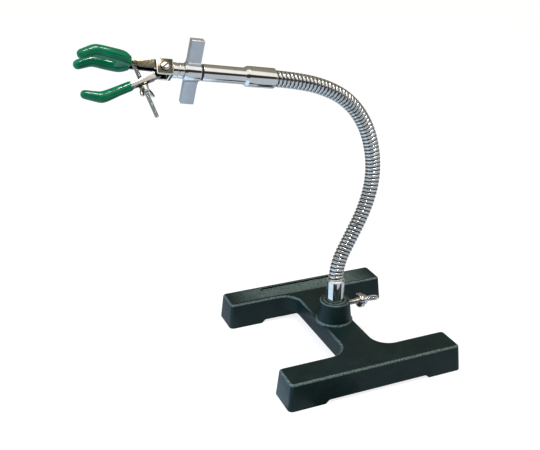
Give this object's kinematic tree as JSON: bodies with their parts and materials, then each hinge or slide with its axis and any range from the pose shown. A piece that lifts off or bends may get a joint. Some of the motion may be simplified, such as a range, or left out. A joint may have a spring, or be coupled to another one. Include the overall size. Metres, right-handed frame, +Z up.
{
  "type": "retort stand",
  "caption": "Laboratory support stand: heavy H-shaped cast base, flexible gooseneck arm and a swivelling pronged clamp with coated fingers and a wing-nut adjuster.",
  "frame": {"origin": "on the bench, under the middle of the bounding box of the whole stand; the hub of the base is 79.4 mm along +X from it", "axes": "+Z up; +X along the bars of the base, from the clamp's side towards the thumb screw's side; the gooseneck bends in the XZ plane and the clamp reaches towards -X"},
  "size_m": [0.3588, 0.207, 0.3491],
  "materials": {
    "base_enamel": "satin hammered enamel, blue-black green",
    "chrome": "bright chrome plate",
    "gooseneck_wire": "chromed round and wedge wire, wound",
    "satin_steel": "satin plated steel",
    "nickel_plate": "bright nickel plate, warm",
    "grip_vinyl": "glossy dipped vinyl, emerald green",
    "gasket_rubber": "matte black rubber"
  },
  "bodies": {
    "base": {"base_casting": "base_enamel"},
    "thumb_screw": {"base_thumb_screw": "chrome"},
    "post": {"lower_ferrule": "chrome", "gooseneck_link_01": "gooseneck_wire"},
    "neck_02": {"gooseneck_link_02": "gooseneck_wire"},
    "neck_03": {"gooseneck_link_03": "gooseneck_wire"},
    "neck_04": {"gooseneck_link_04": "gooseneck_wire"},
    "neck_05": {"gooseneck_link_05": "gooseneck_wire"},
    "neck_06": {"gooseneck_link_06": "gooseneck_wire"},
    "neck_07": {"gooseneck_link_07": "gooseneck_wire"},
    "neck_08": {"gooseneck_link_08": "gooseneck_wire"},
    "neck_09": {"gooseneck_link_09": "gooseneck_wire"},
    "neck_end": {"gooseneck_link_10": "gooseneck_wire", "upper_ferrule": "chrome", "socket_tube": "chrome", "socket_gasket": "gasket_rubber"},
    "tee_nut": {"tee_collar": "chrome", "tee_arm_upper": "satin_steel", "tee_arm_lower": "satin_steel"},
    "clamp_head": {"clamp_stem": "chrome", "clamp_block": "nickel_plate", "pivot_screw": "nickel_plate", "pivot_nut": "nickel_plate", "fixed_jaw": "nickel_plate", "fixed_jaw_grip": "grip_vinyl", "stud_pin": "nickel_plate"},
    "moving_jaw": {"moving_jaw": "nickel_plate", "moving_jaw_grip": "grip_vinyl"},
    "adjusting_stud": {"adjusting_stud": "nickel_plate"},
    "stud_washer": {"stud_washer": "nickel_plate"},
    "wing_nut": {"wing_nut": "nickel_plate"}
  },
  "joints": [
    {"name": "thumb_screw_turn", "type": "hinge", "parent": "base", "child": "thumb_screw", "pos_m": [0.0794, 0, 0.0455], "axis": [1, 0, 0], "continuous": true},
    {"name": "post_swivel", "type": "hinge", "parent": "base", "child": "post", "pos_m": [0.0794, 0, 0.0535], "axis": [0, 0, 1], "continuous": true},
    {"name": "neck_bend_1", "type": "hinge", "parent": "post", "child": "neck_02", "pos_m": [0.0794, 0, 0.0958], "axis": [0, -1, 0], "range_deg": [0, 22]},
    {"name": "neck_bend_2", "type": "hinge", "parent": "neck_02", "child": "neck_03", "pos_m": [0.09465, 0, 0.12574], "axis": [0.891, 0, -0.454], "range_deg": [-27, 27]},
    {"name": "neck_bend_3", "type": "hinge", "parent": "neck_03", "child": "neck_04", "pos_m": [0.10991, 0, 0.15568], "axis": [0, -1, 0], "range_deg": [-39, 9]},
    {"name": "neck_bend_4", "type": "hinge", "parent": "neck_04", "child": "neck_05", "pos_m": [0.11838, 0, 0.18819], "axis": [0.9677, 0, -0.2521], "range_deg": [-20, 20]},
    {"name": "neck_bend_5", "type": "hinge", "parent": "neck_05", "child": "neck_06", "pos_m": [0.11615, 0, 0.22172], "axis": [0, -1, 0], "range_deg": [-42, 6]},
    {"name": "neck_bend_6", "type": "hinge", "parent": "neck_06", "child": "neck_07", "pos_m": [0.10482, 0, 0.25335], "axis": [0.9415, 0, 0.3371], "range_deg": [-18, 18]},
    {"name": "neck_bend_7", "type": "hinge", "parent": "neck_07", "child": "neck_08", "pos_m": [0.08327, 0, 0.27913], "axis": [0, -1, 0], "range_deg": [-49, 0]},
    {"name": "neck_bend_8", "type": "hinge", "parent": "neck_08", "child": "neck_09", "pos_m": [0.05347, 0, 0.29464], "axis": [0.4618, 0, 0.887], "range_deg": [-23, 23]},
    {"name": "neck_bend_9", "type": "hinge", "parent": "neck_09", "child": "neck_end", "pos_m": [0.02082, 0, 0.3026], "axis": [0, -1, 0], "range_deg": [-31, 12]},
    {"name": "tee_nut_turn", "type": "hinge", "parent": "neck_end", "child": "tee_nut", "pos_m": [-0.07577, 0, 0.3179], "axis": [-0.9877, 0, 0.1564], "continuous": true},
    {"name": "stem_turn", "type": "hinge", "parent": "neck_end", "child": "clamp_head", "pos_m": [-0.05503, 0, 0.31461], "axis": [-0.9877, 0, 0.1564], "continuous": true},
    {"name": "jaw_swing", "type": "hinge", "parent": "clamp_head", "child": "moving_jaw", "pos_m": [-0.10204, 0, 0.32206], "axis": [0.0963, -0.788, 0.6081], "range_deg": [-18, 22]},
    {"name": "stud_swing", "type": "hinge", "parent": "clamp_head", "child": "adjusting_stud", "pos_m": [-0.12769, 0.00166, 0.32828], "axis": [0.0963, -0.788, 0.6081], "range_deg": [-9, 11]},
    {"name": "washer_travel", "type": "slide", "parent": "adjusting_stud", "child": "stud_washer", "axis": [0.2092, -0.5813, -0.7864], "range_m": [-0.00754, 0.00922]},
    {"name": "wing_nut_turn", "type": "hinge", "parent": "stud_washer", "child": "wing_nut", "pos_m": [-0.12769, 0.00166, 0.32828], "axis": [0.2092, -0.5813, -0.7864], "continuous": true}
  ],
  "couplings": [
    {"joint": "stud_swing", "follows": "jaw_swing", "ratio": 0.5},
    {"joint": "washer_travel", "follows": "jaw_swing", "m_per_rad": 0.024}
  ]
}
